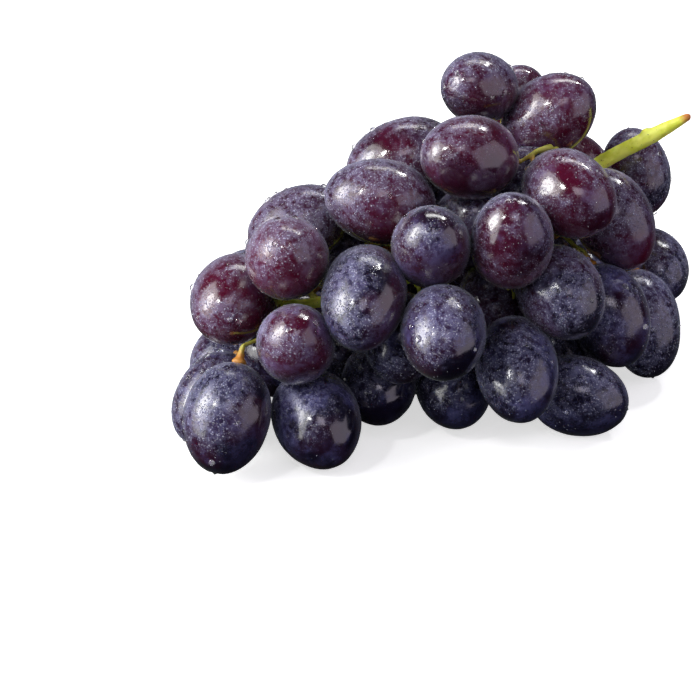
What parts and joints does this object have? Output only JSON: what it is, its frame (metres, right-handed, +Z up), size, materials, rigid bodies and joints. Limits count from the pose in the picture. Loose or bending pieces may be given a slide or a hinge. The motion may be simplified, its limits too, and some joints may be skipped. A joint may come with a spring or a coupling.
{
  "type": "bunch of grapes",
  "caption": "Bunch of dark oval table grapes on a green stem, lying on its side; the berries press on each other and rest on small flats",
  "frame": {"origin": "on the table, under the middle of the bunch", "axes": "+Z up from the table, +X along the bunch towards the cut end of its stem, +Y towards its back"},
  "size_m": [0.146, 0.1192, 0.091],
  "materials": {
    "berry_skin": "waxy bloom over a glossy dark skin",
    "stem": "fresh green, satin"
  },
  "bodies": {
    "root": {"berries": "berry_skin", "stem": "stem"}
  },
  "joints": []
}
